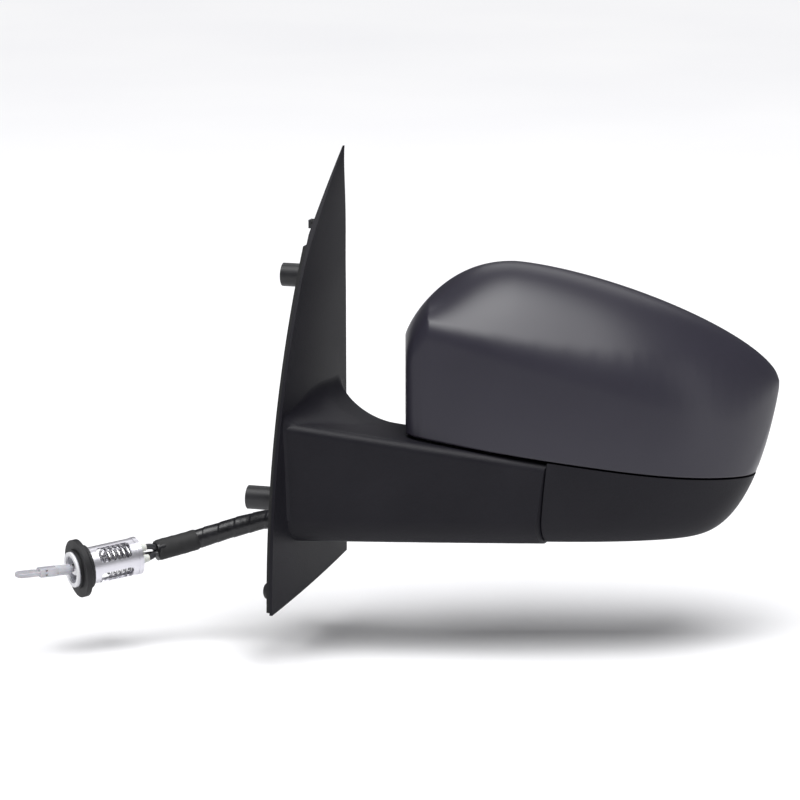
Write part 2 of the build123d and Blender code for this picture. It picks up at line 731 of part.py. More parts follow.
CONTROL = Plane(origin=CONTROL_AT, z_dir=CONTROL_DIR,
                x_dir=Vector(0, 0, 1).cross(Vector(*CONTROL_DIR)))


def control_point(x, y, s):
    return placed(CONTROL.location, x, y, s)


def bend_radius(before, corner, after):
    """Radius of the arc at a corner of a route: it takes 0.45 of the shorter run."""
    run_in, run_out = Vector(*corner) - Vector(*before), Vector(*after) - Vector(*corner)
    half_turn = math.radians(run_in.get_angle(run_out)) / 2
    return 0.45 * min(run_in.length, run_out.length) / math.tan(half_turn)


def bend_radii(points):
    return [bend_radius(*points[i - 1:i + 2]) for i in range(1, len(points) - 1)]


def between(a, b, share):
    return tuple(p + (q - p) * share for p, q in zip(a, b))


def cable_sleeve():
    """Wrapped sleeve over the three conduits, from the door face to its shrunk end."""
    points = CABLE_ROUTE[:5] + [between(*CABLE_ROUTE[4:], 0.62)]
    path = FilletPolyline(*points, radius=bend_radii(CABLE_ROUTE))
    return pipe(path, SLEEVE_R) - pipe(path, SLEEVE_R - 0.8)


def sleeve_shrink():
    points = [between(*CABLE_ROUTE[3:5], 0.46)] + CABLE_ROUTE[4:]
    path = FilletPolyline(*points, radius=bend_radii(CABLE_ROUTE)[-1:])
    return pipe(path, SLEEVE_R + 0.75) - pipe(path, SLEEVE_R + 0.02)


def control_conduits():
    """Conduits inside the sleeve, fanning out to the control's back plate."""
    starts = [Vector(*p) for p in CABLE_ROUTE[:-1]]
    runs = [Vector(*q) - p for p, q in zip(starts, CABLE_ROUTE[1:])]
    headings = [Vector(-1, 0, 0)]
    headings += [(p.normalized() + q.normalized()).normalized() for p, q in zip(runs, runs[1:])]
    headings += [Vector(*CONTROL_DIR)]
    group = []
    for a, b in bundle_offsets():
        points = []
        for point, along in zip(CABLE_ROUTE, headings):
            side = Vector(0, 0, 1).cross(along).normalized()
            offset = Vector(*point) - side * a + along.cross(side) * b
            points.append(tuple(offset))
        points.append(tuple(control_point(a * FAN, b * FAN, -7.6)))
        points.append(tuple(control_point(a * FAN, b * FAN, -0.2)))
        group.append(pipe(FilletPolyline(*points, radius=bend_radii(points)), CONDUIT_R))
    return together(group)


# ---- hand control -------------------------------------------------------------------
def turned(radius, low, high):
    return Pos(0, 0, low) * Cylinder(radius, high - low, align=(Align.CENTER, Align.CENTER, Align.MIN))


def conduit_ferrules():
    group = []
    for a, b in bundle_offsets():
        cone = Pos(FAN * a, FAN * b, -2.75) * Cone(2.0, 2.7, 5.5)
        cone -= Pos(FAN * a, FAN * b, -3) * Cylinder(CONDUIT_R + 0.05, 8)
        group.append(cone)
    return CONTROL.location * together(group)


def control_end_plate():
    plate = turned(CAGE_R + 0.3, 0, 2.5)
    for a, b in bundle_offsets():
        plate -= Pos(FAN * a, FAN * b, 1) * Cylinder(0.75, 6)
    return CONTROL.location * plate


def control_cage():
    cage = turned(CAGE_R, 2.5, CAGE_LEN + 2.5) - turned(CAGE_R - 1.2, 0, CAGE_LEN + 5)
    for turn in range(4):
        window = Rot(0, 0, 45 + 90 * turn) * Pos(CAGE_R, 0, 15.5) * Box(8, 9.6, 19)
        cage -= fillet(window.edges().filter_by(lambda e: abs((e % 0.5).Z) < 0.01 and e.length < 8.5), 2)
    return CONTROL.location * cage


def control_spring():
    return CONTROL.location * Pos(0, 0, 3.4) * coil(7.3, 0.8, 2.9, 5.6)


def lever_socket():
    """Grey dish that holds the lever's ball at the front of the cage."""
    front = CAGE_LEN + 8
    dish = turned(CAGE_R - 0.4, CAGE_LEN + 2.5, front)
    dish -= Pos(0, 0, LEVER_BALL_S) * Sphere(LEVER_BALL_R + 0.08)
    dish -= turned(3.9, CAGE_LEN, CAGE_LEN + 4)
    dish -= Pos(0, 0, front - 1.2) * Cone(3.6, 6.6, 3.2)
    return CONTROL.location * dish


def seat_ring():
    front = CAGE_LEN + 8
    return CONTROL.location * (turned(CAGE_R - 0.4, front, front + 1.2) - turned(7.6, front - 1, front + 2))


def mounting_collar():
    """Rubber collar that clamps the control in its panel hole."""
    low, front = CAGE_LEN - 0.5, CAGE_LEN + 7.5
    collar = turned(12, low, low + 1.5) + turned(COLLAR_R, low + 3.6, low + 6.6)
    collar += Pos(0, 0, low + 2.55) * Cone(12, 15, 2.1)
    collar += turned(10.9, low + 6.6, front)
    collar -= turned(CAGE_R + 0.02, low - 1, CAGE_LEN + 2.5)
    return CONTROL.location * (collar - turned(CAGE_R - 0.38, CAGE_LEN + 2.5, front + 1))


LEVER = CONTROL.location * Pos(0, 0, LEVER_BALL_S)
DROOP = Rot(-LEVER_DROOP, 0, 0)


def lever_place(part):
    """Lever pieces are drawn about the ball's centre, the tip along +Z."""
    return LEVER * DROOP * part


def lever_ball():
    return lever_place(Sphere(LEVER_BALL_R) - turned(2.0, -6, 6))


def lever_handle():
    """Clear moulded lever: round neck, square block, flat rounded tongue."""
    neck = turned(1.96, -4, 5) + turned(2.9, 6.4, 15)
    neck += Pos(0, 0, 5.7) * Cone(1.96, 2.9, 1.4)
    block = Pos(0, 0, 19) * Box(6.3, 5, 11)
    block = fillet(block.edges(), 1)
    for y in (-1.2, 1.2):
        block -= Pos(0, y, 20.5) * Rot(0, 90, 0) * Cylinder(0.6, 9)
    tongue = Pos(0, 0, 30.3) * Box(8.7, 2.4, 14.6)
    tongue = fillet(tongue.edges().filter_by(Axis.Y), 4)
    tongue = fillet(tongue.edges(), 0.7)
    return lever_place(neck + block + tongue)


def lever_spider():
    disc = turned(5.5, -10, -8.4) + turned(2.0, -8.4, -4.6)
    for a, b in bundle_offsets():
        disc -= Pos(1.9 * a, 1.9 * b, -9) * Cylinder(0.9, 4)
    return lever_place(disc)


def lever_nipples():
    group = []
    for a, b in bundle_offsets():
        group.append(Pos(1.9 * a, 1.9 * b, -7.4) * Cylinder(1.5, 2))
    return lever_place(together(group))


def lever_cup():
    shell = Sphere(LEVER_BALL_R + 1.7) - Sphere(LEVER_BALL_R + 0.1)
    ring = shell & turned(9, -5.4, -3.2)
    return LEVER * (ring - turned(4.0, -8, 0))


def control_wires():
    group = []
    for a, b in bundle_offsets():
        end = placed(DROOP, 1.9 * a, 1.9 * b, -10.1)
        start = Vector(FAN * a, FAN * b, 2.6)
        group.append(rod(start, end + Vector(0, 0, LEVER_BALL_S), 0.6))
    return CONTROL.location * together(group)


DOOR_SIDE = {
    "base_cover": base_cover,
    "base_frame": base_frame,
    "door_seal": door_seal,
    "boss_inserts": boss_inserts,
    "cover_screws": cover_screws,
    "locating_hook": locating_hook,
    "corner_buffer": corner_buffer,
    "cable_grommet": cable_grommet,
    "arm_conduits": arm_conduits,
    "cable_sleeve": cable_sleeve,
    "sleeve_shrink": sleeve_shrink,
    "control_conduits": control_conduits,
    "conduit_ferrules": conduit_ferrules,
    "control_end_plate": control_end_plate,
    "control_cage": control_cage,
    "control_spring": control_spring,
    "control_wires": control_wires,
    "lever_socket": lever_socket,
    "seat_ring": seat_ring,
    "mounting_collar": mounting_collar,
    "lever_cup": lever_cup,
    "lever_ball": lever_ball,
    "lever_handle": lever_handle,
    "lever_spider": lever_spider,
    "lever_nipples": lever_nipples,
}

HEAD_SIDE = {
    "pivot_post": pivot_post,
    "detent_plate": detent_plate,
    "spring_washer": spring_washer,
    "retaining_ring": retaining_ring,
    "post_grommet": post_grommet,
    "cap_shell": cap_shell,
    "lower_cover": lower_cover,
    "housing_frame": housing_frame,
    "swivel_plate": swivel_plate,
    "support_bracket": support_bracket,
    "hub_bush": hub_bush,
    "detent_ring": detent_ring,
    "detent_balls": detent_balls,
    "fold_spring": fold_spring,
    "bracket_screws": bracket_screws,
    "ball_post": ball_post,
    "glass_spring": glass_spring,
    "head_conduits": head_conduits,
    "wire_guides": wire_guides,
    "glass_wires": glass_wires,
    "pivot_cup": pivot_cup,
    "glass_carrier": glass_carrier,
    "adhesive_pad": adhesive_pad,
    "mirror_glass": mirror_glass,
    "cable_nipples": cable_nipples,
}


if __name__ == "__main__":
    os.makedirs("parts", exist_ok=True)
    print("cable bend radii, mm:", [round(r, 1) for r in bend_radii(CABLE_ROUTE)])
    for name, make in DOOR_SIDE.items():
        export_step(make(), f"parts/{name}.step")
    for name, make in HEAD_SIDE.items():
        export_step(HEAD_FRAME * make(), f"parts/{name}.step")
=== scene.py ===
import bmesh
import bpy
import json
import math
from mathutils import Matrix, Vector
from mathutils.bvhtree import BVHTree


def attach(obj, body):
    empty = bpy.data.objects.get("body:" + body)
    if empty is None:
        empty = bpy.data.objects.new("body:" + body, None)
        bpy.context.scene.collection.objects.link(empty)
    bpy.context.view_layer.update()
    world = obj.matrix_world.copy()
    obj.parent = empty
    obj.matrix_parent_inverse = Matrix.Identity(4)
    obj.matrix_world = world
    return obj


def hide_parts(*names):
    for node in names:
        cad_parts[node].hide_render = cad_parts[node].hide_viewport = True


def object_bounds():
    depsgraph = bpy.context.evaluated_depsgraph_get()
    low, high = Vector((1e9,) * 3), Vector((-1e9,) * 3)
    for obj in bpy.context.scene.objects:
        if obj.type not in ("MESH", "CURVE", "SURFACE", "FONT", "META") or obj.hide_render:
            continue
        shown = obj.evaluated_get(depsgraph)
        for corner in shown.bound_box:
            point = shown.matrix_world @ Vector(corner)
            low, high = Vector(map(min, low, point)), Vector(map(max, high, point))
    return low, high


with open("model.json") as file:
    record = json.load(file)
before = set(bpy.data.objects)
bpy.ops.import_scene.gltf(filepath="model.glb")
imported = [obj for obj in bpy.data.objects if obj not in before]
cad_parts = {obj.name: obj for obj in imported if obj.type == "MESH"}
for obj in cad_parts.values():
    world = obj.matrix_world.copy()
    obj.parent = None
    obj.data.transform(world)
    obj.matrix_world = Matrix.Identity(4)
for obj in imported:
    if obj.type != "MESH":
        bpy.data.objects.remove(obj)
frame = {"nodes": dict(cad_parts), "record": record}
cad_low, cad_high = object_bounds()
NODES = frame["nodes"]

# Shapes are worked out in mm: X outboard, Y rearward, Z up, with X = 0 at the door's face.
# The cap and the arm have a frame of their own, swept back about Z.
MM = 0.001
SWEEP = math.radians(17.0)
HEAD = Matrix.Rotation(SWEEP, 4, "Z")
TAN_LEAN = math.tan(math.radians(8.5))     # outboard lean of the fold axis
FOLD_X, FOLD_Z = 103.0, 30.3               # where the fold axis meets the split


# ---- camera, floor and light --------------------------------------------------------
def new_object(name, data):
    made = bpy.data.objects.new(name, data)
    bpy.context.scene.collection.objects.link(made)
    return made


def aimed(name, data, place, target):
    """Camera or lamp at a place, looking at a target."""
    made = new_object(name, data)
    made.location = place
    made.rotation_mode = "QUATERNION"
    made.rotation_quaternion = (Vector(target) - made.location).to_track_quat("-Z", "Y")
    return made


def direction(azimuth, elevation):
    """Unit vector from the part to a viewer; azimuth 0 is straight in front."""
    a, e = math.radians(azimuth), math.radians(elevation)
    return Vector((math.sin(a) * math.cos(e), -math.cos(a) * math.cos(e), math.sin(e)))


def add_camera():
    data = bpy.data.cameras.new("camera")
    data.lens, data.sensor_width = 205, 36
    data.clip_start, data.clip_end = 0.05, 60
    target, distance = Vector((50.6, 26.2, 48.4)) * MM, 2.5
    camera = aimed("camera", data, target + direction(17, 12) * distance, target)
    bpy.context.scene.camera = camera


def add_light(name, azimuth, elevation, distance, size, power):
    """Rectangular soft light, distance and size in metres."""
    data = bpy.data.lights.new(name, "AREA")
    data.shape = "RECTANGLE"
    data.size, data.size_y = size
    data.energy = power
    target = Vector((0.06, 0.02, 0.05))
    aimed(name, data, target + direction(azimuth, elevation) * distance, target)


def add_sun(azimuth, elevation, strength, spread):
    """Wide soft light from far above: it lights the floor evenly."""
    data = bpy.data.lights.new("sun", "SUN")
    data.energy = strength
    data.angle = math.radians(spread)
    aimed("sun", data, direction(azimuth, elevation) * 3, (0, 0, 0))


def mesh_from(name, points, faces):
    """Smooth-shaded mesh with its normals turned outward."""
    mesh = bpy.data.meshes.new(name)
    mesh.from_pydata([tuple(p) for p in points], [], faces)
    mesh.validate()
    bm = bmesh.new()
    bm.from_mesh(mesh)
    bmesh.ops.recalc_face_normals(bm, faces=bm.faces)
    bm.to_mesh(mesh)
    bm.free()
    for face in mesh.polygons:
        face.use_smooth = True
    return mesh


def add_floor():
    """Plain round floor a little below the part."""
    sides, radius, gap = 96, 3.2, 0.03
    turns = [math.tau * i / sides for i in range(sides)]
    rim = [(radius * math.cos(a), radius * math.sin(a), cad_low[2] - gap) for a in turns]
    floor = new_object("floor", mesh_from("floor", rim, [list(range(sides))]))
    floor.data.materials.append(material("pale_floor", (0.93, 0.93, 0.94), (0.90, 0.90, 0.92),
                                         0.85, pitch=4, height=0.02, cloud=300))


def add_world():
    """White room: full white where it is seen, a soft low light on the part."""
    lighting, seen = 0.08, 1.0
    world = bpy.data.worlds.new("studio")
    world.use_nodes = True
    nodes, links = world.node_tree.nodes, world.node_tree.links
    path = nodes.new("ShaderNodeLightPath")
    strength = nodes.new("ShaderNodeMapRange")
    strength.inputs["To Min"].default_value = lighting
    strength.inputs["To Max"].default_value = seen
    links.new(path.outputs["Is Camera Ray"], strength.inputs["Value"])
    back = nodes["Background"]
    back.inputs["Color"].default_value = (0.97, 0.97, 1.0, 1)
    links.new(strength.outputs["Result"], back.inputs["Strength"])
    bpy.context.scene.world = world
    bpy.context.scene.view_settings.view_transform = "Standard"


# ---- materials ----------------------------------------------------------------------
def material(name, light, dark, rough, swing=0.08, pitch=0.8, height=0.03, cloud=40,
             metallic=0.0, stretch=(1, 1, 1), cells=0.0, **sockets):
    """Noise-driven finish: broad clouding and fine grain in colour, roughness and bump.

    light and dark are the ends of its colour, and rough give or take swing is its roughness.
    pitch, cloud and cells are the sizes of grain, clouding and pebbles in mm, height is the
    bump's depth in mm, and sockets are more constants of the shader."""
    grain_share, grain_detail, cloud_detail = 0.25, 3.0, 2.0
    made = bpy.data.materials.new(name)
    made.use_nodes = True
    tree = made.node_tree
    shader = tree.nodes["Principled BSDF"]

    def add(kind, **values):
        fresh = tree.nodes.new(kind)
        for key, value in values.items():
            if hasattr(fresh, key):
                setattr(fresh, key, value)
            else:
                fresh.inputs[key].default_value = value
        return fresh

    def link(source, output, target, socket):
        tree.links.new(source.outputs[output], target.inputs[socket])

    place = add("ShaderNodeTexCoord")
    scaled = add("ShaderNodeMapping", Scale=stretch)
    link(place, "Object", scaled, "Vector")
    broad = add("ShaderNodeTexNoise", Scale=1 / (cloud * MM), Detail=cloud_detail)
    link(place, "Object", broad, "Vector")
    fine = add("ShaderNodeTexNoise", Scale=1 / (pitch * MM), Detail=grain_detail, Roughness=0.6)
    link(scaled, "Vector", fine, "Vector")
    mixed = add("ShaderNodeMath", operation="MULTIPLY_ADD")
    mixed.inputs[1].default_value = grain_share
    link(fine, "Fac", mixed, 0)
    share = add("ShaderNodeMath", operation="MULTIPLY")
    share.inputs[1].default_value = 1 - grain_share
    link(broad, "Fac", share, 0)
    link(share, "Value", mixed, 2)
    ramp = add("ShaderNodeValToRGB")
    low, high = ramp.color_ramp.elements
    low.position, high.position = 0.3, 0.7
    low.color, high.color = (*dark, 1), (*light, 1)
    link(mixed, "Value", ramp, "Fac")
    link(ramp, "Color", shader, "Base Color")
    spread = add("ShaderNodeMapRange")
    spread.inputs["To Min"].default_value = rough - swing
    spread.inputs["To Max"].default_value = rough + swing
    link(mixed, "Value", spread, "Value")
    link(spread, "Result", shader, "Roughness")
    bump = add("ShaderNodeBump", Strength=1.0, Distance=height * MM)
    if cells:
        pebble = add("ShaderNodeTexVoronoi", Scale=1 / (cells * MM))
        link(scaled, "Vector", pebble, "Vector")
        both = add("ShaderNodeMath", operation="ADD")
        link(pebble, "Distance", both, 0)
        link(fine, "Fac", both, 1)
        link(both, "Value", bump, "Height")
    else:
        link(fine, "Fac", bump, "Height")
    link(bump, "Normal", shader, "Normal")
    shader.inputs["Metallic"].default_value = metallic
    for key, value in sockets.items():
        shader.inputs[key.replace("_", " ")].default_value = value
    return made


def make_materials():
    """One finish for each material slot of the record."""
    made = {}

    def finish(slot, light, dark, rough, **fixed):
        made[slot] = material(slot, light, dark, rough, **fixed)

    finish("grained_black", (0.011, 0.0104, 0.0145), (0.006, 0.0056, 0.009), 0.5,
           cells=0.9, pitch=0.5, height=0.05, Specular_IOR_Level=0.2)
    finish("satin_cap", (0.030, 0.028, 0.040), (0.023, 0.0215, 0.032), 0.38, swing=0.04,
           pitch=0.45, height=0.006, cloud=70, Specular_IOR_Level=0.4)
    finish("frame_black", (0.020, 0.020, 0.023), (0.013, 0.013, 0.015), 0.42,
           pitch=0.6, height=0.015)
    finish("foam_seal", (0.016, 0.016, 0.017), (0.008, 0.008, 0.009), 0.9,
           cells=0.7, pitch=0.6, height=0.12)
    finish("soft_rubber", (0.008, 0.0078, 0.010), (0.004, 0.004, 0.005), 0.62, swing=0.14,
           pitch=1.4, height=0.03, cloud=12)
    finish("sleeve_wrap", (0.009, 0.0088, 0.012), (0.004, 0.004, 0.005), 0.34, swing=0.16,
           pitch=2.2, height=0.18, cloud=9)
    finish("shrink_tube", (0.014, 0.0138, 0.015), (0.009, 0.009, 0.0095), 0.7,
           pitch=0.9, height=0.05, cloud=8)
    finish("conduit_black", (0.05, 0.05, 0.055), (0.03, 0.03, 0.034), 0.3,
           pitch=1.5, height=0.02, cloud=6)
    finish("casting", (0.46, 0.46, 0.47), (0.34, 0.34, 0.36), 0.5, swing=0.1, metallic=1.0,
           pitch=0.9, height=0.06)
    finish("coated_casting", (0.020, 0.020, 0.023), (0.011, 0.011, 0.013), 0.45,
           pitch=0.8, height=0.05, cloud=10)
    finish("cage_metal", (0.80, 0.79, 0.84), (0.66, 0.65, 0.71), 0.33, swing=0.1,
           metallic=0.85, pitch=0.7, height=0.02, stretch=(1, 1, 6))
    finish("steel", (0.72, 0.72, 0.73), (0.50, 0.50, 0.52), 0.24, swing=0.1, metallic=1.0,
           pitch=0.5, height=0.01, cloud=6)
    finish("dark_steel", (0.20, 0.19, 0.19), (0.11, 0.11, 0.12), 0.38, swing=0.12,
           metallic=1.0, pitch=0.7, height=0.02, cloud=8)
    finish("brass", (0.70, 0.52, 0.25), (0.55, 0.38, 0.16), 0.3, swing=0.1, metallic=1.0,
           pitch=0.4, height=0.015, stretch=(5, 1, 1), cloud=6)
    finish("bush_nylon", (0.84, 0.82, 0.76), (0.72, 0.70, 0.63), 0.45,
           pitch=0.6, height=0.015, cloud=8, Subsurface_Weight=0.15)
    finish("grey_socket", (0.36, 0.36, 0.40), (0.26, 0.26, 0.30), 0.42,
           pitch=0.5, height=0.015, cloud=7)
    finish("white_ring", (0.88, 0.88, 0.90), (0.76, 0.76, 0.79), 0.3,
           pitch=0.5, height=0.01, cloud=7)
    finish("clear_lever", (0.66, 0.66, 0.70), (0.54, 0.54, 0.60), 0.22, pitch=1.6,
           height=0.02, cloud=7, Transmission_Weight=0.35, IOR=1.49, Subsurface_Weight=0.1)
    finish("foam_pad", (0.10, 0.10, 0.10), (0.05, 0.05, 0.05), 0.9,
           cells=0.5, pitch=0.5, height=0.1)
    finish("mirror", (0.90, 0.92, 0.94), (0.86, 0.88, 0.91), 0.025, swing=0.012,
           metallic=1.0, pitch=6, height=0.0004, cloud=60)
    return made


def paint_frame(finishes):
    """Gives every CAD node the finish of its material slot."""
    for entry in frame["record"]["subparts"]:
        mesh = NODES[entry["node"]].data
        mesh.materials.clear()
        mesh.materials.append(finishes[entry["material_slot"]])


# ---- shape helpers ------------------------------------------------------------------
def clamp01(t):
    return min(max(t, 0.0), 1.0)


def smooth01(t):
    t = clamp01(t)
    return t * t * (3 - 2 * t)


def falling(t, power, root):
    """From 1 at t = 0 down to 0 at t = 1, like a quarter of an ellipse."""
    return (1 - clamp01(t) ** power) ** (1 / root)


def hermite(p, q, dp, dq, steps):
    """Cubic from p to q with end tangents, without its last point."""
    made = []
    for i in range(steps):
        t = i / steps
        a, b = 2 * t ** 3 - 3 * t ** 2 + 1, t ** 3 - 2 * t ** 2 + t
        c, d = 3 * t ** 2 - 2 * t ** 3, t ** 3 - t ** 2
        made.append(p * a + dp * b + q * c + dq * d)
    return made


def spline3(points, first=None, last=None, steps=24):
    """Smooth cubic through three points, with given end directions or free ends."""
    p, q, r = points
    h, k = (q - p).length, (r - q).length
    m, n = (q - p) / h, (r - q) / k
    if first is None:
        mid = (m * k + n * h) / (h + k)
        first, last = (m * 3 - mid) / 2, (n * 3 - mid) / 2
    else:
        first, last = first.normalized(), last.normalized()
        mid = ((m * k + n * h) * 3 - first * k - last * h) / (2 * (h + k))
    ahead = hermite(p, q, first * h, mid * h, steps)
    return ahead + hermite(q, r, mid * k, last * k, steps) + [r]


def measured(points):
    """Distance along a line to each of its points."""
    lengths = [0.0]
    for a, b in zip(points, points[1:]):
        lengths.append(lengths[-1] + (b - a).length)
    return lengths


def spaced(points, count):
    """The same line with count points at even distances."""
    lengths = measured(points)
    made, i = [], 0
    for j in range(count):
        want = lengths[-1] * j / (count - 1)
        while i < len(points) - 2 and lengths[i + 1] < want:
            i += 1
        run = max(lengths[i + 1] - lengths[i], 1e-9)
        made.append(points[i].lerp(points[i + 1], clamp01((want - lengths[i]) / run)))
    return made


def cut_line(points, inside):
    """The part of a line from its start to where inside() first turns negative."""
    made = [points[0]]
    for a, b in zip(points, points[1:]):
        fa, fb = inside(a), inside(b)
        if fb < 0:
            made.append(a.lerp(b, clamp01(fa / max(fa - fb, 1e-9))))
            return made
        made.append(b)
    return made


def grid_faces(rows, columns):
    return [(r * columns + c, r * columns + c + 1, (r + 1) * columns + c + 1,
             (r + 1) * columns + c)
            for r in range(rows - 1) for c in range(columns - 1)]


def finish_piece(piece, slot, body, sharp=35, wall=0.0, nodes=()):
    """Paints a piece, puts it on its body and hides the CAD nodes it replaces.

    Edges over sharp degrees stay crisp; wall is a thickness in mm, added inward."""
    piece.data.materials.append(FINISH[slot])
    piece.data.set_sharp_from_angle(angle=math.radians(sharp))
    if wall:
        shell = piece.modifiers.new("wall", "SOLIDIFY")
        shell.thickness = wall * MM
        shell.offset = -1
    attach(piece, body)
    if nodes:
        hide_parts(*nodes)


# ---- head cap, in the swept frame ---------------------------------------------------
INNER, PEAK, FORWARD, TIP = 59.0, 118, 150, 265.2   # X: inner end, highest, foremost, tip
FRONT, SOLE = -44, -22.5                            # foremost Y and lowest Z
RIM, BACK = 24.0, 30                                # Y of the rear rim; sections reach BACK


def split_z(x):
    """Height of the split between head and arm, square to the fold axis."""
    return FOLD_Z - (x - FOLD_X) * TAN_LEAN


def top_z(x):
    """Top of the cap: Z 84 at the inner end, 126 at the peak and 56.7 at the tip."""
    if x > PEAK:
        return 56.7 + 69.3 * falling((x - PEAK) / (TIP - PEAK), 1.4, 1.5)
    return 84 + 42 * falling((PEAK - x) / (PEAK - INNER), 2.2, 1.3)


def bottom_z(x):
    """Underside: level as far as X 200, then up by 75 at the tip."""
    level_to = 200
    return SOLE + 75 * (1 - falling((x - level_to) / (TIP - level_to), 3.7, 1.15))


def face_y(x):
    """Front of the cap: back to Y 26 at the tip, and rounded into the inner end wall."""
    if x > FORWARD:
        front = 26 - (26 - FRONT) * falling((x - FORWARD) / 116, 2.75, 1.2)
    else:
        front = FRONT + 12 * clamp01((FORWARD - x) / 85) ** 2.2
    round_r = 9
    reach = round_r - clamp01((x - INNER) / round_r) * round_r
    return front + round_r - math.sqrt(round_r ** 2 - reach ** 2)


def cap_line(x):
    """Section of the cap from its rear rim over the crease to the split, as two runs."""
    top, low, face = top_z(x), bottom_z(x), face_y(x)
    tall, deep = top - low, BACK - face
    crease = min(98 - 0.208 * (x - 62.7), top - 0.06 * tall - 0.6)
    chin_r = min(17, 0.3 * (crease - low), 0.45 * deep)

    def at(y, z):
        return Vector((x, y, z))

    edge, chin = at(face + 0.04 * deep, crease), at(face + 0.03 * deep, low + chin_r)
    roof = spline3([at(BACK, top - 0.03 * tall), at(face + 0.72 * deep, top), edge],
                   Vector((0, -1, 0.12)), Vector((0, -0.75, -1)))
    front = spline3([edge, at(face, low + 0.45 * (crease - low)), chin])
    sole = at(face + 1.1 * chin_r, low)
    turn = (sole - chin).length
    jaw = hermite(chin, sole, Vector((0, 0.12, -1)).normalized() * turn,
                  Vector((0, 1, -0.02)).normalized() * turn, 16)
    under = front[:-1] + jaw + [sole, at(BACK, low + 0.01 * tall)]
    roof = cut_line(roof[::-1], lambda p: RIM - p.y)[::-1]
    floor = split_z(x) + 0.6
    under = cut_line(under, lambda p: p.z - floor)
    under = [p for p in under if p.y <= RIM] or under
    return roof, under


def soften(roof, under, reach):
    """Rounds the crease between the two runs over a distance each side of it."""
    line = roof + under[1:]
    middle, lengths = len(roof) - 1, measured(line)
    reach = min(reach, 0.45 * lengths[middle], 0.45 * (lengths[-1] - lengths[middle]))
    left = next(i for i, d in enumerate(lengths) if d > lengths[middle] - reach)
    right = next(i for i, d in enumerate(lengths) if d >= lengths[middle] + reach)
    a, b, c = line[left].copy(), line[middle].copy(), line[right].copy()
    low, wide = lengths[left], lengths[right] - lengths[left]
    for i in range(left, right + 1):
        t = (lengths[i] - low) / wide
        line[i] = a * (1 - t) ** 2 + b * (2 * t * (1 - t)) + c * t ** 2
    return line


def cap_skin():
    """Satin cap: soft crease round the front, flat end wall beside the sail."""
    stations, across, per_run = 150, 110, 56
    middle, half = (INNER + TIP) / 2, (TIP - INNER) / 2 - 0.05
    rows = []
    for i in range(stations):
        x = middle - half * math.cos(math.pi * i / (stations - 1))
        roof, under = (spaced(run, per_run) for run in cap_line(x))
        rows.append(spaced(soften(roof, under, 6 + 14 * clamp01((x - 80) / 150)), across))
    points = [HEAD @ (p * MM) for row in rows for p in row]
    faces = grid_faces(stations, across)
    rim = rows[0]
    corner = Vector((rim[0].x, RIM, rim[-1].z))
    points.append(HEAD @ (corner * MM))
    faces.append(list(range(across)) + [len(points) - 1])
    tip = (stations - 1) * across
    faces.append([tip + i for i in range(across)])
    piece = new_object("cap_skin", mesh_from("cap_skin", points, faces))
    finish_piece(piece, "satin_cap", "head", 38, wall=2.2, nodes=["cap_shell"])


# ---- sail and arm -------------------------------------------------------------------
def arm_line(x):
    """Section of the arm across its length, anticlockwise from the front.

    Each point is y, z and its outward normal's y and z."""
    front = FRONT + 7 * clamp01((150 - x) / 150) ** 1.6
    rear = 10 + 28 * clamp01((60 - x) / 46) ** 2
    top = split_z(x) - 1.2
    corners = [(front, SOLE, 14, 180), (rear, SOLE, 6, 270), (rear, top, 5, 0),
               (front, top, 5, 90)]
    per_corner, per_side = 11, 14
    made = []
    for y, z, r, start in corners:
        cy = y + r if y == front else y - r
        cz = z + r if z == SOLE else z - r
        for i in range(per_corner):
            a = math.radians(start + 90 * i / (per_corner - 1))
            made.append((cy + r * math.cos(a), cz + r * math.sin(a), math.cos(a), math.sin(a)))
    dense = []
    for k, (here, after) in enumerate(zip(made, made[1:] + made[:1])):
        steps = per_side if k % per_corner == per_corner - 1 else 1
        for i in range(steps):
            dense.append(tuple(u + (v - u) * (i / steps) for u, v in zip(here, after)))
    return dense


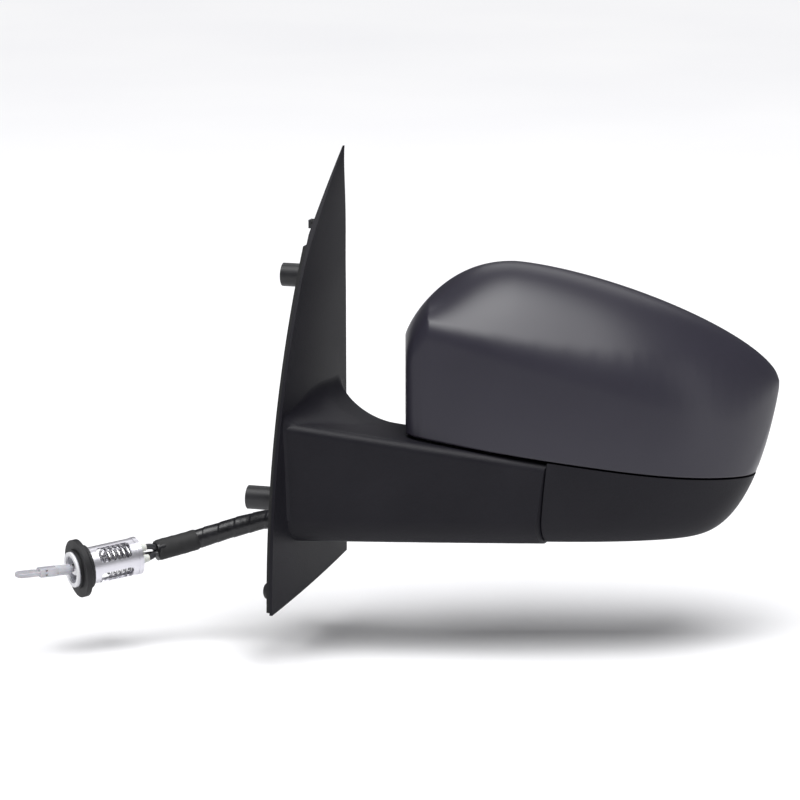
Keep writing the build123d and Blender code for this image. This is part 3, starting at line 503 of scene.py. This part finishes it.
def root_fillet():
    """Large blend between the top of the arm and the sail's outer face.

    Each column starts on the sail, runs along one line of the arm's section and ends just
    under the arm's surface. It is small at the front and grows towards the rear."""
    cover = BVHTree.FromObject(NODES["base_cover"], bpy.context.evaluated_depsgraph_get())
    start = arm_line(0.0)
    chosen = [i for i in range(1, len(start)) if start[i][3] > -0.02] + [0]
    columns, steps, sunk = [], 26, 0.06
    for i in chosen:
        a, b = start[i][2], start[i][3]
        size = math.hypot(a, b)
        a, b = a / size, b / size
        along = smooth01((start[i][0] + 40) / 46)
        share = smooth01((b - 0.45) / 0.55) * (0.18 + 0.82 * along)
        long, tall = 2.5 + 28.5 * share, 1.2 + 17.3 * share
        x = 12.0
        for _ in range(16):                # closes in on where the column meets the sail
            y, z = arm_line(x)[i][0] + a * tall, arm_line(x)[i][1] + b * tall
            row = x * math.sin(SWEEP) + y * math.cos(SWEEP)
            hit = cover.ray_cast(Vector((60, row, z)) * MM, Vector((-1, 0, 0)))[0]
            face = hit.x / MM if hit else 13.0
            x = 0.4 * x + 0.6 * (face - 0.02 + y * math.sin(SWEEP)) / math.cos(SWEEP)
        column = []
        for j in range(steps):
            d = 1 - math.cos(0.5 * math.pi * j / (steps - 1))
            rise = tall * (1 - math.sqrt(max(0.0, 1 - (1 - d) ** 2)))
            y, z = arm_line(x + d * long)[i][:2]
            column.append(HEAD @ (Vector((x + d * long, y + a * rise, z + b * rise)) * MM))
        normal = HEAD.to_3x3() @ Vector((0, a, b))
        near = cover.find_nearest(column[-1])[0]
        slip = (near - column[-1]).dot(normal) - sunk * MM
        columns.append([p + normal * (slip * (j / (steps - 1)) ** 2)
                        for j, p in enumerate(column)])
    points = [p for column in columns for p in column]
    faces = grid_faces(len(columns), steps)
    piece = new_object("root_fillet", mesh_from("root_fillet", points, faces))
    finish_piece(piece, "grained_black", "base", 80)


# ---- cable --------------------------------------------------------------------------
CABLE_ROUTE = [
    (0, 2, -15),
    (-15, 2, -17),
    (-30.9, 0.3, -21.6),
    (-47.7, -4.5, -27),
    (-63.6, -12.9, -32),
    (-74.65, -23.2, -34.3),
]


def cable_line():
    """Points along the smooth line of the cable's route."""
    data = bpy.data.curves.new("cable_line", "CURVE")
    data.dimensions = "3D"
    spline = data.splines.new("NURBS")
    spline.points.add(len(CABLE_ROUTE) - 1)
    for point, place in zip(spline.points, CABLE_ROUTE):
        point.co = (place[0] * MM, place[1] * MM, place[2] * MM, 1)
    spline.order_u = 3
    spline.use_endpoint_u = True
    spline.resolution_u = 24
    line = bpy.data.objects.new("cable_line", data)
    mesh = bpy.data.meshes.new_from_object(line)
    points = [v.co.copy() for v in mesh.vertices]
    bpy.data.objects.remove(line)
    return points


def tube_mesh(name, line, radius):
    """Tube along a line; radius(distance, angle) in mm."""
    around, up = 48, Vector((0, 0, 1))
    points, rows, travelled = [], len(line), 0.0
    for i, centre in enumerate(line):
        way = (line[min(i + 1, rows - 1)] - line[max(i - 1, 0)]).normalized()
        side = up.cross(way).normalized()
        rise = way.cross(side)
        if i:
            travelled += (centre - line[i - 1]).length / MM
        for j in range(around):
            a = math.tau * j / around
            spread = side * math.cos(a) + rise * math.sin(a)
            points.append(centre + spread * (radius(travelled, a) * MM))
    faces = []
    for i in range(rows - 1):
        here, after = i * around, (i + 1) * around
        for j in range(around):
            k = (j + 1) % around
            faces.append((here + j, here + k, after + k, after + j))
    faces.append(list(range(around)))
    faces.append([(rows - 1) * around + j for j in range(around)])
    return mesh_from(name, points, faces)


def cable():
    """Tape-wrapped sleeve with heat-shrink at the control's end."""
    line = spaced(cable_line(), 220)

    def wrap(d, a):
        """Overlapping turns of tape on three soft lobes, the conduits inside."""
        turn = (d / 9.5 + a / math.tau) % 1.0
        step = 0.26 * turn * smooth01((1 - turn) * 14)
        lobes = 0.16 * math.cos(3 * a + 0.05 * d) * smooth01(d / 20)
        return 5.12 + step + lobes + 0.07 * math.sin(0.31 * d + 2 * a)

    def shrink(d, a):
        """Even tube with tapered ends, drawn down on the same three lobes."""
        ends = smooth01(d / 1.6) * smooth01((24.6 - d) / 1.2)
        lobes = 0.34 * math.cos(3 * a + 1.57) * smooth01((d - 6) / 14)
        return 5.3 + 0.45 * ends + lobes + 0.08 * math.sin(1.1 * d + a) * math.sin(3 * a)

    sleeve = new_object("sleeve_skin", tube_mesh("sleeve_skin", line, wrap))
    finish_piece(sleeve, "sleeve_wrap", "base", nodes=["cable_sleeve"])
    tail = spaced([p for p in line if (p - line[-1]).length < 24.8 * MM], 90)
    cover = new_object("shrink_skin", tube_mesh("shrink_skin", tail, shrink))
    finish_piece(cover, "shrink_tube", "base", nodes=["sleeve_shrink"])


add_camera()
add_world()
FINISH = make_materials()
paint_frame(FINISH)
cable()
cap_skin()
root_fillet()
add_floor()
add_sun(azimuth=14, elevation=70, strength=3.2, spread=50)
add_light("side", azimuth=84, elevation=16, distance=1.6, size=(0.5, 1.2), power=2.4)
add_light("top", azimuth=10, elevation=74, distance=1.3, size=(0.6, 0.5), power=4)
add_light("rear", azimuth=185, elevation=45, distance=1.7, size=(1.2, 0.8), power=5)
